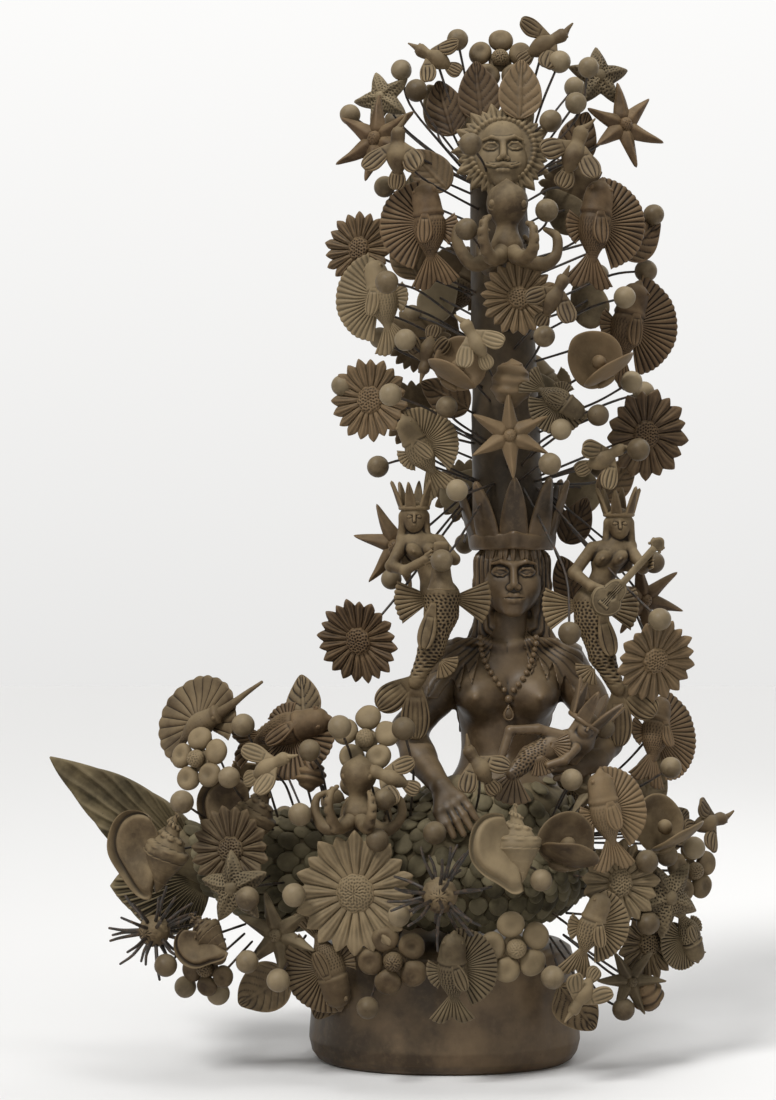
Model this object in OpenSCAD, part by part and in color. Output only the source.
// Clay tree of life: a crowned siren on an oval foot, with a trunk rising from her crown.
// Clay fish, birds, flowers, shells and berries stand on wires pressed into the trunk and the tail.
// Millimetres. +Z is up, the siren faces -Y, and the origin is at the middle of the foot's underside.

/* [Foot] */
// Width of the oval foot
foot_w = 246; // [236:1:260]
// Depth of the oval foot
foot_d = 184; // [176:1:196]
// Height of the foot up to the tail
foot_h = 104; // [98:1:112]
// Thickness of the foot's clay wall
foot_wall = 15; // [11:1:20]
// Thickness of the tail's clay wall
tail_wall = 16; // [12:1:20]

/* [Siren] */
// Sideways place of the siren's neck and trunk
axis_x = 58; // [52:1:64]
// Height of the waist
waist_z = 262; // [256:1:268]
// Height of the shoulders
shoulder_z = 364; // [358:1:370]
// Height of the crown's lower edge
crown_z = 456; // [452:1:460]

/* [Trunk] */
// Trunk radius where it leaves the crown
trunk_r_low = 34; // [30:1:38]
// Trunk radius at the top
trunk_r_top = 26; // [22:1:30]
// Height of the trunk's top
trunk_top_z = 792; // [780:1:800]
// Thickness of the trunk's clay wall
trunk_wall = 9; // [7:1:12]

/* [Ornaments] */
// Diameter of the stem wire
wire_d = 2.2; // [1.6:0.1:3]
// Diameter of a berry
berry_d = 20; // [17:0.5:22]
// Thickness of the petals, leaves and fins
sheet_t = 4; // [3:0.5:5]

/* [Hidden] */
trunk_low_z = crown_z + 6;
trunk_lean_x = -10;           // the trunk's top stands this far to the side of its foot
clay = [0.42, 0.34, 0.26];
clay_dark = [0.32, 0.25, 0.19];
clay_pale = [0.52, 0.45, 0.37];
steel = [0.16, 0.15, 0.14];

// ---- places: [x, y, z, roll, size] of each ornament's middle ----
daisies_upper_at = [[-76, -25, 724, 0, 66], [62, -85, 674, 8, 66], [-66, -40, 589, 5, 74],
                    [176, -40, 558, 0, 80], [-76, -60, 377, 9, 76], [182, -60, 360, 4, 75]];
daisies_lower_at = [[-184, -112, 200, 4, 76], [-78, -132, 166, 0, 104], [146, -112, 172, 6, 74],
                    [176, -62, 112, 0, 66]];
ball_flowers_at = [[50, 0, 897, 0, 60], [-214, -92, 275, 10, 60], [-70, -96, 293, 0, 62],
                   [-46, -138, 110, 20, 64], [56, -146, 122, 12, 64], [218, -34, 172, 0, 60],
                   [-206, -104, 98, 30, 54]];
lilies_upper_at = [[160, -20, 835, 10, 80], [-62, -36, 820, 0, 84], [54, -95, 555, 0, 74],
                   [-44, -4, 460, 20, 82], [182, 16, 411, 15, 78]];
lilies_lower_at = [[-146, -112, 127, 12, 78], [158, -92, 84, 30, 64], [126, -78, 246, 10, 60]];
starfish_at = [[-56, -6, 861, 20, 58], [138, -10, 879, 0, 62], [-180, -146, 172, 8, 66],
               [190, -86, 156, 30, 74]];
leaves_upper_at = [[30, -28, 863, 5, 56], [66, -38, 863, -5, 56], [0, -20, 850, 18, 54],
                   [-14, -14, 796, 40, 52], [-34, -52, 716, 30, 50], [174, -22, 734, -50, 54],
                   [118, 2, 483, -20, 46], [110, 4, 431, 20, 44], [120, -8, 826, -20, 52],
                   [0, -20, 594, 60, 50], [154, -12, 520, -40, 48]];
leaves_lower_at = [[-126, -20, 322, 15, 50], [-160, -72, 74, 120, 64], [184, -4, 250, -30, 60],
                   [-104, -64, 66, 150, 50], [112, -96, 62, -140, 56], [206, 6, 206, -60, 52]];
doves_upper_at = [[-8, -20, 893, 60, 54], [88, -22, 905, -60, 60], [-42, -84, 798, 0, 64],
                  [110, -74, 800, -20, 66], [24, -108, 634, 30, 54], [90, -118, 670, -25, 56],
                  [136, -72, 536, -60, 56], [-16, -70, 628, 170, 52]];
doves_lower_at = [[27, -118, 270, 35, 56], [-152, -112, 270, -60, 56], [-48, -124, 262, 70, 54],
                  [232, -24, 213, -80, 58], [112, -146, 84, 150, 52]];
clams_upper_at = [[10, -80, 614, -30, 56], [130, -74, 618, 30, 60]];
clams_lower_at = [[97, -146, 207, -20, 60], [184, -76, 214, 20, 62]];
conches_at = [[50, -172, 211, 6, 82], [-248, -82, 196, -14, 88], [-172, -86, 228, -20, 84],
              [-206, -122, 128, 60, 56]];
buds_at = [[56, -82, 600, 0, 44], [-118, -84, 262, 0, 32], [174, -76, 70, 40, 34]];

// Each fish has its nose up at roll 0.
fish_top_left_at = [-14, -78, 736, 4, 100];
fish_top_right_at = [128, -68, 738, -4, 104];
fish_disc_left_at = [-54, -50, 676, 8, 92];
fish_disc_right_at = [160, -24, 654, -8, 104];
fish_mid_left_at = [-24, -52, 544, 30, 84];
fish_mid_right_at = [96, -96, 586, -120, 66];
fish_low_left_at = [-138, -72, 300, -70, 104];
fish_foot_left_at = [-100, -124, 104, 200, 96];
fish_foot_middle_at = [2, -156, 104, 4, 88];
fish_lap_right_at = [132, -124, 232, 12, 92];
fish_foot_right_at = [118, -142, 138, -14, 80];
fish_disc_low_at = [184, -28, 291, -12, 92];
fish_end_right_at = [212, -56, 120, -150, 72];
siren_horn_at = [-10, -50, 400];
siren_guitar_at = [134, -50, 394];
all_fish_at = [fish_top_left_at, fish_top_right_at, fish_disc_left_at, fish_disc_right_at,
               fish_mid_left_at, fish_mid_right_at, fish_low_left_at, fish_foot_left_at,
               fish_foot_middle_at, fish_lap_right_at, fish_foot_right_at, fish_disc_low_at,
               fish_end_right_at];
hummingbird_at = [-212, -72, 304, -52, 96];

urchins_at = [[-252, -96, 128, 0, 84], [-8, -168, 169, 0, 92]];
octopus_upper_at = [52, -88, 728, 0, 96];
octopus_lower_at = [-76, -118, 240, 0, 84];
sun_at = [50, -42, 808, 0, 92];

berries_upper_at = [
    [11, -20, 911], [-39, -10, 886], [-26, -40, 862], [-85, -10, 846], [101, -32, 889],
    [126, -42, 882], [115, -40, 851], [92, -52, 833], [20, -92, 806], [-54, -60, 774],
    [16, -112, 730], [86, -92, 749], [186, -20, 755], [-52, -92, 687], [-86, -20, 672],
    [-58, -10, 646], [-36, -82, 638], [180, -10, 706], [156, -62, 677], [82, -118, 638],
    [-49, -92, 590], [-92, -30, 602], [0, -80, 580], [162, -62, 603], [176, -28, 596],
    [130, -94, 572], [98, -94, 560], [166, -82, 543], [-60, -30, 530], [8, -112, 507],
    [88, -100, 530], [-5, -104, 447], [-48, -20, 430], [186, -20, 445], [104, -112, 385],
    [184, -86, 396]];
berries_lower_at = [
    [-38, -134, 305], [-176, -92, 305], [-118, -114, 285], [-226, -124, 242], [-186, -124, 263],
    [-126, -122, 231], [-54, -142, 246], [-12, -152, 219], [-60, -144, 212], [-168, -166, 166],
    [-130, -146, 166], [-42, -162, 151], [-240, -122, 103], [-170, -134, 108], [-144, -132, 92],
    [-226, -90, 79], [-198, -84, 72], [-68, -150, 72], [86, -164, 100], [152, -92, 60],
    [76, -172, 182], [196, -66, 266], [136, -84, 302], [172, -104, 136], [216, -66, 196],
    [192, -72, 190], [170, -112, 190], [104, -136, 262], [-92, -128, 306]];

// The back carries fewer ornaments, set by a golden-angle rule.
back_rows = 15;
function back_at(i, reach, low, high) =
    let (a = 90 + 62 * sin(137.5 * i + 20), z = low + (high - low) * (i + 0.5) / back_rows)
    [axis_x + trunk_lean(z) + reach * cos(a), reach * sin(a), z];
function back_rows_of(step, reach, low, high, size) =
    [for (i = [0 : back_rows - 1]) if (i % 3 == step)
        let (p = back_at(i, reach, low, high)) [p.x, p.y, p.z, 40 * sin(99 * i), size]];
back_daisies_at = back_rows_of(0, 96, 500, 850, 62);
back_leaves_at = concat(back_rows_of(1, 92, 470, 900, 52), back_rows_of(2, 84, 440, 880, 50));
back_fish_at = [[20, 92, 700, 30, 92], [100, 96, 610, -30, 90], [-150, 72, 262, 70, 92],
                [120, 92, 236, -24, 90]];
back_berries_at = concat(
    [for (i = [0 : back_rows + 4]) let (p = back_at(i, 104, 430, 960))
        if (p.z < 900) [p.x, p.y, p.z + 14]],
    [for (i = [0 : 9]) [-190 + 42 * i, 108 - 14 * (i % 3), 128 + 62 * (i % 2) + 16 * (i % 3)]]);
back_flowers_at = [[-84, 108, 214, 0, 66], [20, 118, 150, 0, 68], [88, 112, 196, 0, 64],
                   [-172, 82, 168, 0, 60], [176, 74, 150, 0, 60], [-30, 112, 118, 0, 60]];

// ---- helper functions ----
function trunk_lean(z) = trunk_lean_x * (z - trunk_low_z) / (trunk_top_z - trunk_low_z);
function trunk_r(z) =
    trunk_r_low + (trunk_r_top - trunk_r_low) * (z - trunk_low_z) / (trunk_top_z - trunk_low_z);
function clamp(v, low, high) = max(low, min(high, v));
function unit(v) = v / norm(v);
// Where a stem wire is rooted: on the trunk for the upper ornaments, on the tail for the lower ones.
function root_of(p) = p.z > 350
    ? let (z = clamp(p.z - 0.3 * norm([p.x - axis_x, p.y]), crown_z + 60, trunk_top_z - 8),
           c = [axis_x + trunk_lean(z), 0, z])
      c + (trunk_r(z) - 6) * unit([p.x - c.x, p.y, 0])
    : let (c = [clamp(0.8 * p.x, -200, 84), 0.24 * p.y, clamp(p.z, 128, 196)])
      c + 30 * unit([p.x, p.y, p.z] - c);
// An ornament faces away from a point well behind the piece, or in front of it for the back ones.
function turn_of(p) = p.y < 40
    ? atan2(p.x - (p.z > 350 ? axis_x : 0), 250 - p.y)
    : 180 - atan2(p.x - (p.z > 350 ? axis_x : 0), 250 + p.y);
function lean_of(p) = p.z > 350 ? (p.z - 640) / 18 : (p.z - 160) / 7;

// ---- helper modules ----
module at(p) {
    translate([p[0], p[1], p[2]]) rotate([0, 0, turn_of(p)]) rotate([90 - lean_of(p), 0, 0])
        rotate([0, 0, p[3]]) children();
}
module rod(a, b, d) {
    v = b - a;
    translate(a) rotate([0, acos(v.z / norm(v)), atan2(v.y, v.x)]) cylinder(d = d, h = norm(v), $fn = 24);
}
module limb(a, b, ra, rb) {
    hull() {
        translate(a) sphere(ra, $fn = 20);
        translate(b) sphere(rb, $fn = 20);
    }
}
module egg(at, r) { translate(at) scale(r) sphere(1, $fn = 24); }
module wires(rows) {
    color(steel) for (p = rows) rod(root_of(p), [p[0], p[1], p[2]], wire_d);
}
module berries(rows) {
    color(clay_pale) for (p = rows) translate(p) sphere(d = berry_d, $fn = 40);
}

// ---- ornaments, each facing +Z with its top towards +Y ----
module star_plate(r_out, r_in, n, t) {
    linear_extrude(t, center = true)
        polygon([for (i = [0 : 2 * n - 1]) let (r = i % 2 == 0 ? r_out : r_in)
            [r * sin(180 * i / n), r * cos(180 * i / n)]]);
}
module leaf_plate(length, width, t) {
    linear_extrude(t, center = true)
        polygon([for (i = [0 : 23]) let (a = 15 * i)
            [width / 2 * sin(a) * (1 - 0.25 * cos(a)), length / 2 * cos(a)]]);
}
module fan_plate(r, from, to, t) {
    linear_extrude(t, center = true)
        polygon(concat([[0, 0]],
            [for (i = [0 : 12]) let (a = from + (to - from) * i / 12) [r * sin(a), r * cos(a)]]));
}
module spindle(length, r, nose = 0.35) {
    // A body of revolution along Y, with its nose at +Y.
    rotate([-90, 0, 0]) rotate_extrude($fn = 40)
        polygon([[0, -length / 2], [0.34 * r, -length / 2], [0.85 * r, -0.2 * length], [r, 0.05 * length],
                 [0.86 * r, nose * length * 0.8], [0.4 * r, 0.46 * length], [0, length / 2]]);
}
module daisy(size) {
    star_plate(size / 2, 0.44 * size, 16, sheet_t);
    translate([0, 0, 1]) cylinder(d = 0.3 * size, h = 5, $fn = 40);
}
module ball_flower(size) {
    for (i = [0 : 4]) rotate([0, 0, 72 * i]) translate([0, 0.33 * size, 0]) sphere(0.165 * size, $fn = 32);
    cylinder(r = 0.3 * size, h = 4, center = true, $fn = 40);
    translate([0, 0, 3]) sphere(0.11 * size, $fn = 32);
}
module lily(size) {
    star_plate(size / 2, 0.13 * size, 6, sheet_t + 2);
    sphere(0.1 * size, $fn = 32);
}
module starfish(size) {
    star_plate(size / 2, 0.26 * size, 5, 8);
    translate([0, 0, 2]) sphere(0.13 * size, $fn = 32);
}
module leaf(size) {
    leaf_plate(size, 0.68 * size, sheet_t);
}
module dove(size) {
    spindle(size, 0.15 * size);
    translate([0, 0.38 * size, 0.04 * size]) sphere(0.13 * size, $fn = 32);
    for (s = [-1, 1]) translate([s * 0.24 * size, 0, 0]) rotate([0, 0, s * 62])
        leaf_plate(0.44 * size, 0.24 * size, sheet_t);
    translate([0, -0.3 * size, 0]) fan_plate(0.2 * size, 150, 210, sheet_t);
}
module fish(length, side = 1, fan = 0.36) {
    // side is the side of the big fin, and fan is that fin's reach as a share of the length.
    spindle(0.74 * length, 0.15 * length);
    translate([0, -0.2 * length, 0]) fan_plate(0.3 * length, 148, 212, sheet_t);
    mirror([side > 0 ? 0 : 1, 0, 0]) {
        translate([0.04 * length, 0.02 * length, 0]) fan_plate(fan * length, 10, 150, sheet_t);
        translate([-0.04 * length, 0, 0]) fan_plate(0.2 * length, 200, 300, sheet_t);
    }
}
module hummingbird_shape(length) {
    spindle(0.52 * length, 0.13 * length);
    translate([0, 0.18 * length, 0]) rotate([-90, 0, 0])
        cylinder(r1 = 0.05 * length, r2 = 0.015 * length, h = 0.5 * length, $fn = 32);
    translate([-0.1 * length, -0.06 * length, -9]) cylinder(r = 0.42 * length, h = sheet_t, $fn = 48);
}
module conch(size) {
    // A spired shell along Y with its flared lip to one side.
    rotate([90, 0, 0]) rotate_extrude($fn = 40)
        polygon([[0, -0.34 * size], [0.1 * size, -0.24 * size], [0.15 * size, -0.08 * size],
                 [0.24 * size, -0.02 * size], [0.15 * size, 0.14 * size], [0.05 * size, 0.5 * size],
                 [0, 0.5 * size]]);
    rotate([0, -24, 0]) translate([-0.14 * size, 0, -2]) linear_extrude(sheet_t)
        polygon([for (i = [0 : 19]) [0.3 * size * sin(18 * i), 0.5 * size * cos(18 * i)]]);
}
module clam(size) {
    // Two open valves on a hinge block, and a pearl threaded on the stem wire between them.
    for (s = [-1, 1]) translate([0, -0.3 * size, 0.06 * size * s]) rotate([s * 36 + 38, 0, 0])
        translate([0, 0.38 * size, 0]) leaf_plate(0.84 * size, 0.84 * size, sheet_t);
    translate([0, -0.3 * size, 0]) cube([0.3 * size, 0.1 * size, 0.24 * size], center = true);
    translate([0, 0.02 * size, 0.16 * size]) sphere(0.09 * size, $fn = 32);
}
module bud(size) {
    rotate([-90, 0, 0]) rotate_extrude($fn = 40)
        polygon([[0, -size / 2], [0.3 * size, -0.36 * size], [0.4 * size, 0], [0.3 * size, 0.32 * size],
                 [0, size / 2]]);
}
module urchin(size) {
    sphere(0.18 * size, $fn = 40);
    spines = 26;
    for (i = [0 : spines - 1])
        let (h = 1 - 2 * (i + 0.5) / spines, a = 137.5 * i, w = sqrt(1 - h * h),
             v = [w * cos(a), w * sin(a), h])
        rod(0.14 * size * v, 0.5 * size * v, 2);
}
module octopus(size) {
    // A round head on a tapered body, with arms that spread from its foot and curl up.
    arms = 6;
    translate([0, 0.32 * size, 0]) sphere(0.17 * size, $fn = 40);
    rotate([-90, 0, 0]) translate([0, 0, -0.2 * size])
        cylinder(r1 = 0.17 * size, r2 = 0.09 * size, h = 0.46 * size, $fn = 40);
    for (k = [0 : arms - 1]) rotate([0, 360 / arms * k, 0])
        translate([0.3 * size, -0.13 * size, 0]) rotate([0, 0, 180])
            rotate_extrude(angle = 205, $fn = 48) translate([0.15 * size, 0]) circle(0.045 * size, $fn = 24);
}
module sun(size) {
    star_plate(size / 2, 0.38 * size, 14, 7);
    translate([0, 0, -8]) sphere(0.33 * size, $fn = 48);
}
// ---- the siren ----
module oval(r_x, r_y, h, z) {
    translate([0, 0, z]) scale([1, r_y / r_x, 1]) cylinder(r = r_x, h = h, $fn = 64);
}
module foot() {
    // A hollow oval plinth with a closed floor and a vent for the kiln's steam.
    a = foot_w / 2;
    b = foot_d / 2;
    vent_r = 5;
    color(clay_dark) difference() {
        hull() {
            oval(a - 12, b - 12, 1, 0);
            oval(a - 3, b - 3, 1, 7);
            oval(a, b, 1, 18);
            oval(a - 7, b - 7, 1, foot_h - 1);
        }
        hull() {
            oval(a - 8 - foot_wall, b - 8 - foot_wall, 1, foot_wall);
            oval(a - 22 - foot_wall, b - 22 - foot_wall, 1, foot_h - foot_wall);
        }
        translate([foot_w / 4, 0, -1]) cylinder(r = vent_r, h = foot_wall + 2, $fn = 32);
    }
}
module tail_mass(in) {
    // The fish's tail from the waist down; in is how far the surface is moved inwards.
    hull() {
        egg([50, -4, waist_z - 16], [52 - in, 44 - in, 18 - in / 2]);
        egg([18, -10, 176], [112 - in, 86 - in, 60 - in]);
    }
}
module tail() {
    // The tail fills the lap, rests on the foot and runs out to one side.
    color(clay) {
        difference() {
            tail_mass(0);
            tail_mass(tail_wall);
            translate([-200, -200, 0]) cube([400, 400, foot_h]);
        }
        difference() {
            union() {
                limb([-70, -13, 171], [-150, -14, 170], 58, 46);
                limb([-150, -14, 170], [-226, -14, 186], 46, 24);
            }
            tail_mass(tail_wall / 2);
        }
    }
}
module tail_fin() {
    color(clay) translate([0, -8, 0]) rotate([90, 0, 0]) linear_extrude(12, center = true)
        polygon([[-226, 208], [-262, 240], [-310, 261], [-357, 272], [-336, 244], [-314, 214], [-290, 184],
                 [-286, 172], [-301, 157], [-280, 133], [-252, 111], [-222, 122], [-205, 160]]);
}
module tail_scales() {
    // Rows of thumb-pressed scales on the front of the lap and along the sweep of the tail.
    rows = 5;
    across = 7;
    color(clay_pale) for (row = [0 : rows - 1], i = [0 : across - 1])
        let (z = 228 - 25 * row, a = -54 + 18 * i + (row % 2) * 9, bulge = sqrt(1 - pow((z - 172) / 92, 2)))
        translate([20 + 112 * bulge * sin(a), -10 - 86 * bulge * cos(a), z])
            rotate([0, 0, a]) rotate([90 - 34 * (z - 172) / 60, 0, 0])
                cylinder(r = 11, h = 7, center = true, $fn = 32);
}
module torso() {
    color(clay_dark) {
        difference() {
            union() {
                hull() {
                    egg([52, 0, waist_z - 6], [44, 34, 12]);
                    egg([54, 0, 318], [50, 34, 20]);
                }
                hull() {
                    egg([54, 0, 318], [50, 34, 20]);
                    for (s = [-1, 1]) egg([axis_x + s * 46, 4, shoulder_z - 10], [20, 22, 18]);
                    egg([axis_x, 0, shoulder_z + 8], [26, 22, 10]);
                }
                for (s = [-1, 1]) translate([axis_x - 3 + s * 26, -24, 332]) sphere(23, $fn = 32);
            }
            hull() {
                egg([52, 0, waist_z], [28, 20, 6]);
                egg([54, 0, 340], [32, 18, 14]);
            }
        }
        limb([axis_x, 0, shoulder_z], [axis_x + 2, -6, 404], 20, 18);
    }
}
module hand(wrist, knuckle, tips, r) {
    limb(wrist, knuckle, r, r + 3);
    for (t = tips) rod(knuckle, t, 8);
}
module right_arm() {
    color(clay_dark) {
        limb([6, 4, shoulder_z - 6], [-36, -18, 296], 22, 15);
        limb([-36, -18, 296], [-4, -78, 250], 15, 10);
        hand([-4, -78, 250], [4, -94, 238],
            [[24, -108, 240], [20, -122, 222], [12, -124, 218], [2, -122, 218]], 9);
    }
}
module left_arm() {
    color(clay_dark) {
        limb([108, 4, shoulder_z - 6], [146, -8, 302], 21, 14);
        limb([146, -8, 302], [134, -66, 274], 14, 10);
        hand([134, -66, 274], [122, -78, 273],
            [[98, -90, 282], [96, -92, 275], [97, -92, 268], [101, -90, 261]], 9);
    }
}
module head() {
    color(clay_dark) hull() {
        egg([axis_x + 2, -10, 442], [29, 33, 30]);
        egg([axis_x + 2, -24, 414], [20, 18, 18]);
    }
}
module hair() {
    // Long hair over the crown of the head, the shoulders and the back.
    color(clay_dark) {
        difference() {
            hull() {
                egg([axis_x + 2, -2, 440], [34, 34, 26]);
                egg([axis_x, 20, 392], [48, 20, 20]);
            }
            hull() {
                egg([axis_x + 2, -12, 444], [28, 32, 30]);
                egg([axis_x + 2, -40, 404], [24, 30, 24]);
            }
        }
        hull() {
            egg([axis_x, 24, 380], [58, 16, 20]);
            egg([axis_x - 2, 34, 290], [44, 12, 20]);
        }
        for (s = [-1, 1]) hull() {
            egg([axis_x + s * 36, -6, 384], [18, 20, 12]);
            egg([axis_x + s * 42, -26, 330], [12, 8, 16]);
        }
    }
}
module necklace() {
    // Two strings of clay beads that meet over a drop-shaped pendant, all pressed on the chest.
    beads = 10;
    color(clay) {
        for (s = [-1, 1], i = [0 : beads - 1]) let (t = i / (beads - 1))
            translate([axis_x - 2 + s * (25 - 21 * t * t), -25 - 20 * sin(90 * t), 378 - 46 * t])
                sphere(2.6, $fn = 24);
        translate([axis_x - 2, -48, 324]) sphere(3.6, $fn = 24);
        translate([axis_x - 2, -47, 312]) rotate([90, 0, 0]) cylinder(r = 5, h = 4, $fn = 32);
    }
}
module crown() {
    points = 9;
    color(clay_dark) translate([axis_x + 2, -6, crown_z]) {
        difference() {
            cylinder(r1 = 37, r2 = 39, h = 15, $fn = 64);
            translate([0, 0, -1]) cylinder(r1 = 31, r2 = 34, h = 17, $fn = 64);
        }
        for (i = [0 : points - 1]) rotate([0, 0, 360 * i / points - 90]) translate([35, 0, 8])
            rotate([0, 17, 0]) rotate([90, 0, 90]) linear_extrude(5, center = true)
                polygon([[-12, 0], [12, 0], [10, 24], [0, 58], [-10, 24]]);
    }
}
module trunk() {
    length = norm([trunk_lean_x, trunk_top_z - trunk_low_z]);
    bore_r_low = trunk_r_low - trunk_wall;
    bore_r_top = trunk_r_top - trunk_wall;
    color(clay_dark) translate([axis_x, 0, trunk_low_z]) rotate([0, asin(trunk_lean_x / length), 0])
        difference() {
            cylinder(r1 = trunk_r_low, r2 = trunk_r_top, h = length, $fn = 64);
            translate([0, 0, -1])
                cylinder(r1 = bore_r_low, r2 = bore_r_top, h = length - trunk_wall, $fn = 64);
        }
}

// ---- the small figures ----
module small_siren(side) {
    // Local frame: +Z up, facing -Y; side is the way the head and the tail lean from the hips.
    translate([side * 18, 0, 84]) sphere(13, $fn = 32);
    translate([side * 18, 0, 92]) cylinder(r1 = 12, r2 = 17, h = 22, $fn = 40);
    limb([side * 14, 0, 68], [side * 2, 2, 34], 17, 14);
    limb([side * 2, 2, 34], [-side * 6, 0, -2], 17, 14);
    limb([-side * 6, 0, -2], [side * 16, -2, -60], 14, 8);
    translate([side * 16, -2, -58]) rotate([90, 0, 0]) rotate([0, 0, side > 0 ? 24 : -24])
        fan_plate(54, 140, 220, sheet_t);
    for (s = [-1, 1]) translate([s * 8 - side * 6, 2, 14]) rotate([90, 0, 0])
        fan_plate(36, s > 0 ? 70 : 230, s > 0 ? 130 : 290, sheet_t);
}
module siren_horn() {
    color(clay) translate(siren_horn_at) {
        small_siren(-1);
        limb([-30, -2, 64], [-34, -12, 38], 6, 5);
        limb([-34, -12, 38], [-4, -26, 50], 5, 5);
    }
}
module horn() {
    color(clay) translate([-5, -90, 462]) rotate([180, 0, 0]) cylinder(r1 = 7, r2 = 11, h = 40, $fn = 40);
}
module siren_guitar() {
    color(clay) translate(siren_guitar_at) {
        small_siren(1);
        limb([-6, -2, 64], [-20, -12, 40], 6, 5);
        limb([-20, -12, 40], [8, -25, 26], 5, 5);
        limb([30, -2, 64], [36, -14, 44], 6, 5);
    }
}
module guitar() {
    color(clay_pale) translate([138, -84, 412]) rotate([0, 42, 0]) {
        rotate([90, 0, 0]) cylinder(r = 14, h = 9, center = true, $fn = 48);
        translate([0, 0, 13]) rotate([90, 0, 0]) cylinder(r = 10, h = 9, center = true, $fn = 48);
        translate([-3, -3, 16]) cube([6, 6, 46]);
        translate([-5, -4, 58]) cube([10, 7, 14]);
    }
}
module held_siren() {
    // The child siren that the figure carries across her lap.
    color(clay) {
        limb([116, -88, 296], [92, -92, 290], 15, 13);
        limb([92, -92, 290], [56, -98, 264], 13, 8);
        limb([76, -96, 300], [52, -100, 296], 6, 5);
        limb([52, -100, 296], [44, -104, 272], 5, 5);
        translate([56, -98, 264]) rotate([90, 0, 0]) fan_plate(30, 150, 250, sheet_t);
    }
}
module held_crown() {
    color(clay_dark) translate([118, -88, 306]) rotate([0, 34, 0]) {
        cylinder(r1 = 15, r2 = 17, h = 8, $fn = 40);
        for (i = [0 : 4]) rotate([0, 0, 72 * i]) translate([14, 0, 5]) rotate([0, 20, 0])
            rotate([90, 0, 90]) linear_extrude(4, center = true) polygon([[-7, 0], [7, 0], [0, 34]]);
    }
}

// ---- the ornaments in their places ----
module sun_face() { color(clay) at(sun_at) sun(sun_at[4]); }
module octopus_upper() { color(clay) at(octopus_upper_at) octopus(octopus_upper_at[4]); }
module octopus_lower() { color(clay) at(octopus_lower_at) octopus(octopus_lower_at[4]); }
module hummingbird() { color(clay) at(hummingbird_at) hummingbird_shape(hummingbird_at[4]); }
module daisies_upper() { color(clay) for (p = daisies_upper_at) at(p) daisy(p[4]); }
module daisies_lower() { color(clay) for (p = daisies_lower_at) at(p) daisy(p[4]); }
module ball_flowers() { color(clay_pale) for (p = ball_flowers_at) at(p) ball_flower(p[4]); }
module lilies_upper() { color(clay) for (p = lilies_upper_at) at(p) lily(p[4]); }
module lilies_lower() { color(clay) for (p = lilies_lower_at) at(p) lily(p[4]); }
module starfishes() { color(clay_pale) for (p = starfish_at) at(p) starfish(p[4]); }
module leaves_upper() { color(clay) for (p = leaves_upper_at) at(p) leaf(p[4]); }
module leaves_lower() { color(clay) for (p = leaves_lower_at) at(p) leaf(p[4]); }
module doves_upper() { color(clay_pale) for (p = doves_upper_at) at(p) dove(p[4]); }
module doves_lower() { color(clay_pale) for (p = doves_lower_at) at(p) dove(p[4]); }
module clams_upper() { color(clay) for (p = clams_upper_at) at(p) clam(p[4]); }
module clams_lower() { color(clay) for (p = clams_lower_at) at(p) clam(p[4]); }
module conches() { color(clay_pale) for (p = conches_at) at(p) conch(p[4]); }
module buds() { color(clay) for (p = buds_at) at(p) bud(p[4]); }
module urchins() { color(clay) for (p = urchins_at) at(p) urchin(p[4]); }
module back_daisies() { color(clay) for (p = back_daisies_at) at(p) daisy(p[4]); }
module back_flowers() { color(clay_pale) for (p = back_flowers_at) at(p) ball_flower(p[4]); }
module back_leaves() { color(clay) for (p = back_leaves_at) at(p) leaf(p[4]); }
module back_fish() { color(clay) for (p = back_fish_at) at(p) fish(p[4]); }
module fish_top_left() { color(clay) at(fish_top_left_at) fish(fish_top_left_at[4], -1); }
module fish_top_right() { color(clay) at(fish_top_right_at) fish(fish_top_right_at[4]); }
module fish_disc_left() { color(clay) at(fish_disc_left_at) fish(fish_disc_left_at[4], -1, 0.42); }
module fish_disc_right() { color(clay) at(fish_disc_right_at) fish(fish_disc_right_at[4], 1, 0.42); }
module fish_mid_left() { color(clay) at(fish_mid_left_at) fish(fish_mid_left_at[4]); }
module fish_mid_right() { color(clay) at(fish_mid_right_at) fish(fish_mid_right_at[4]); }
module fish_low_left() { color(clay) at(fish_low_left_at) fish(fish_low_left_at[4]); }
module fish_foot_left() { color(clay) at(fish_foot_left_at) fish(fish_foot_left_at[4]); }
module fish_foot_middle() { color(clay) at(fish_foot_middle_at) fish(fish_foot_middle_at[4]); }
module fish_lap_right() { color(clay) at(fish_lap_right_at) fish(fish_lap_right_at[4]); }
module fish_foot_right() { color(clay) at(fish_foot_right_at) fish(fish_foot_right_at[4]); }
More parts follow.
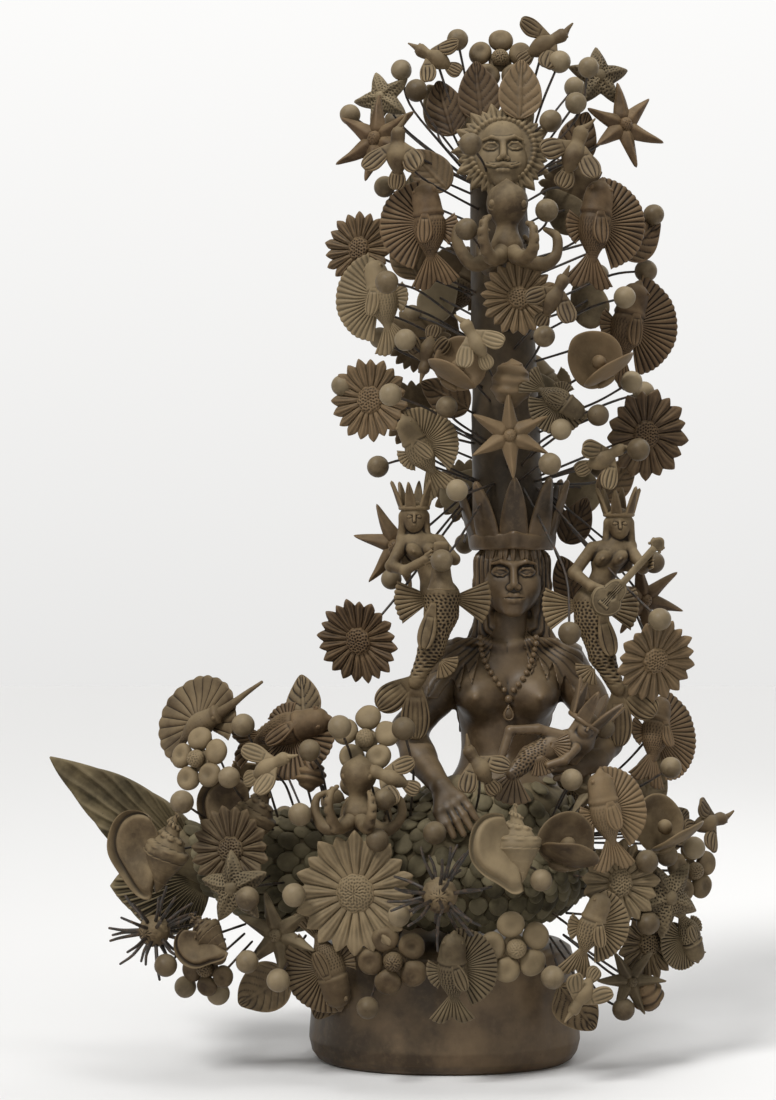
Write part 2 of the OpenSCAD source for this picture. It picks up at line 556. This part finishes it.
module fish_disc_low() { color(clay) at(fish_disc_low_at) fish(fish_disc_low_at[4], 1, 0.46); }
module fish_end_right() { color(clay) at(fish_end_right_at) fish(fish_end_right_at[4]); }
module berries_upper() { berries(berries_upper_at); }
module berries_lower() { berries(berries_lower_at); }
module back_berries() { berries(back_berries_at); }

// ---- the stem wires, each from the trunk or the tail to its ornament ----
function high(rows) = [for (p = rows) if (p[2] > 350) p];
function low(rows) = [for (p = rows) if (p[2] <= 350) p];
module wires_upper() {
    wires(concat(daisies_upper_at, lilies_upper_at, leaves_upper_at, doves_upper_at, clams_upper_at,
        berries_upper_at, [octopus_upper_at], high(ball_flowers_at), high(starfish_at), high(buds_at),
        high(all_fish_at), [siren_horn_at + [0, 0, 18], siren_guitar_at + [0, 0, 22]]));
}
module wires_lower() {
    wires(concat(daisies_lower_at, lilies_lower_at, leaves_lower_at, doves_lower_at, clams_lower_at,
        berries_lower_at, [octopus_lower_at, hummingbird_at], conches_at, urchins_at,
        low(ball_flowers_at), low(starfish_at), low(buds_at), low(all_fish_at)));
}
module back_wires() {
    wires(concat(back_daisies_at, back_flowers_at, back_leaves_at, back_fish_at, back_berries_at));
}

foot();
tail();
tail_scales();
tail_fin();
torso();
right_arm();
left_arm();
head();
hair();
necklace();
crown();
trunk();
sun_face();
octopus_upper();
octopus_lower();
siren_horn();
horn();
siren_guitar();
guitar();
held_siren();
held_crown();
hummingbird();
daisies_upper();
daisies_lower();
ball_flowers();
lilies_upper();
lilies_lower();
starfishes();
leaves_upper();
leaves_lower();
doves_upper();
doves_lower();
clams_upper();
clams_lower();
conches();
buds();
urchins();
fish_top_left();
fish_top_right();
fish_disc_left();
fish_disc_right();
fish_mid_left();
fish_mid_right();
fish_low_left();
fish_foot_left();
fish_foot_middle();
fish_lap_right();
fish_foot_right();
fish_disc_low();
fish_end_right();
berries_upper();
berries_lower();
back_daisies();
back_flowers();
back_leaves();
back_fish();
back_berries();
wires_upper();
wires_lower();
back_wires();
